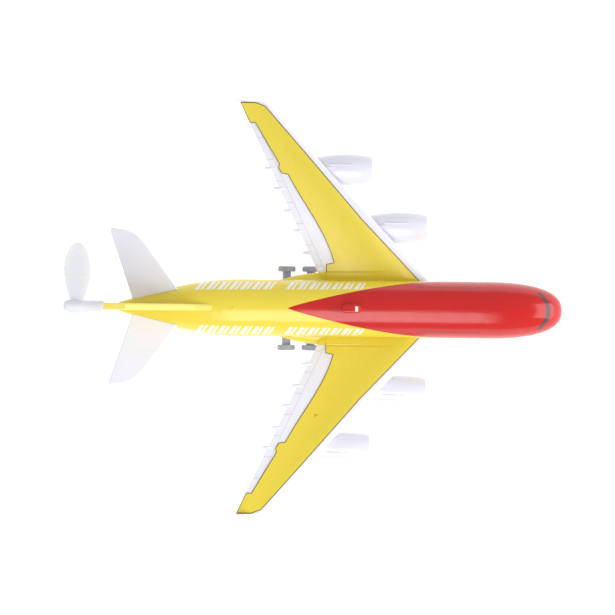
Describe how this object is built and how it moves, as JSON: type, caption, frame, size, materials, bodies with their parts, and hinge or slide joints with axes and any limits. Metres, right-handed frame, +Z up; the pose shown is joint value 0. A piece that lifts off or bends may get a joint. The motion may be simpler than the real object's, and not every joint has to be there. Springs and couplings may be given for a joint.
{
  "type": "toy airplane",
  "caption": "String-hung toy airliner: swept wings with engine pods, rolling wheels, and a battery motor that turns a pusher propeller on the tail.",
  "frame": {"origin": "on the ground, midway between the nose and the aft end of the propeller, on the centre line", "axes": "+X to the nose, +Y to the port wing tip, +Z up"},
  "size_m": [0.3803, 0.3152, 0.113],
  "materials": {
    "red_yellow_shell": "glossy, red over yellow",
    "white_shell": "glossy",
    "door_plastic": "glossy",
    "fin_yellow": "glossy",
    "eye_red": "glossy",
    "wing_white": "glossy",
    "wing_yellow": "glossy",
    "tailplane_white": "glossy",
    "pod_white": "glossy",
    "fan_grey": "satin",
    "wheel_grey": "satin",
    "cell_jacket": "printed jacket",
    "propeller_translucent": "translucent",
    "shaft_steel": "bright",
    "bush_brass": "turned",
    "nylon_white": "satin",
    "coupling_black": "satin",
    "motor_steel": "zinc plated",
    "motor_cap_white": "satin",
    "terminal_brass": "tinned",
    "magnet_dark": "ferrite",
    "rotor_steel": "laminated",
    "cradle_white": "satin",
    "strap_steel": "pressed",
    "screw_steel": "zinc plated",
    "tray_black": "satin",
    "contact_nickel": "nickel plated",
    "switch_case": "pressed",
    "knob_black": "satin",
    "lead_black": "vinyl",
    "lead_red": "vinyl",
    "leg_grey": "satin"
  },
  "bodies": {
    "airframe": {"battery_door": "door_plastic", "battery_door_screw": "screw_steel", "battery_tray": "tray_black", "contact_plates": "contact_nickel", "contact_springs": "contact_nickel", "lower_shell": "white_shell", "motor_can": "motor_steel", "motor_cradle": "cradle_white", "motor_end_cap": "motor_cap_white", "motor_lead_black": "lead_black", "motor_lead_red": "lead_red", "motor_magnets": "magnet_dark", "motor_strap": "strap_steel", "motor_terminals": "terminal_brass", "nose_leg": "leg_grey", "port_cell": "cell_jacket", "port_inner_fan": "fan_grey", "port_inner_nacelle": "pod_white", "port_outer_fan": "fan_grey", "port_outer_nacelle": "pod_white", "port_tailplane": "tailplane_white", "port_wing": "wing_white", "port_wing_top_panel": "wing_yellow", "shell_screws": "screw_steel", "starboard_cell": "cell_jacket", "starboard_inner_fan": "fan_grey", "starboard_inner_nacelle": "pod_white", "starboard_outer_fan": "fan_grey", "starboard_outer_nacelle": "pod_white", "starboard_tailplane": "tailplane_white", "starboard_wing": "wing_white", "starboard_wing_top_panel": "wing_yellow", "strap_screws": "screw_steel", "string_eye": "eye_red", "switch_body": "switch_case", "tail_bush": "bush_brass", "tail_fin": "fin_yellow", "upper_shell": "red_yellow_shell"},
    "propeller_unit": {"propeller": "propeller_translucent", "drive_shaft": "shaft_steel", "shaft_coupling": "coupling_black", "thrust_washer": "nylon_white", "motor_rotor": "rotor_steel"},
    "front_main_wheels": {"front_main_axle": "shaft_steel", "port_front_wheel": "wheel_grey", "starboard_front_wheel": "wheel_grey"},
    "rear_main_wheels": {"rear_main_axle": "shaft_steel", "port_rear_wheel": "wheel_grey", "starboard_rear_wheel": "wheel_grey"},
    "nose_wheels": {"nose_axle": "shaft_steel", "port_nose_wheel": "wheel_grey", "starboard_nose_wheel": "wheel_grey"},
    "power_knob": {"switch_knob": "knob_black"}
  },
  "joints": [
    {"name": "propeller_spin", "type": "hinge", "parent": "airframe", "child": "propeller_unit", "pos_m": [-0.1586, 0, 0.047], "axis": [1, 0, 0], "continuous": true},
    {"name": "front_main_wheels_spin", "type": "hinge", "parent": "airframe", "child": "front_main_wheels", "pos_m": [-0.0021, 0, 0.00685], "axis": [0, 1, 0], "continuous": true},
    {"name": "rear_main_wheels_spin", "type": "hinge", "parent": "airframe", "child": "rear_main_wheels", "pos_m": [-0.021, 0, 0.00685], "axis": [0, 1, 0], "continuous": true},
    {"name": "nose_wheels_spin", "type": "hinge", "parent": "airframe", "child": "nose_wheels", "pos_m": [0.14, 0, 0.0042], "axis": [0, 1, 0], "continuous": true},
    {"name": "power_switch_slide", "type": "slide", "parent": "airframe", "child": "power_knob", "axis": [1, 0, 0], "range_m": [0, 0.0035]}
  ]
}
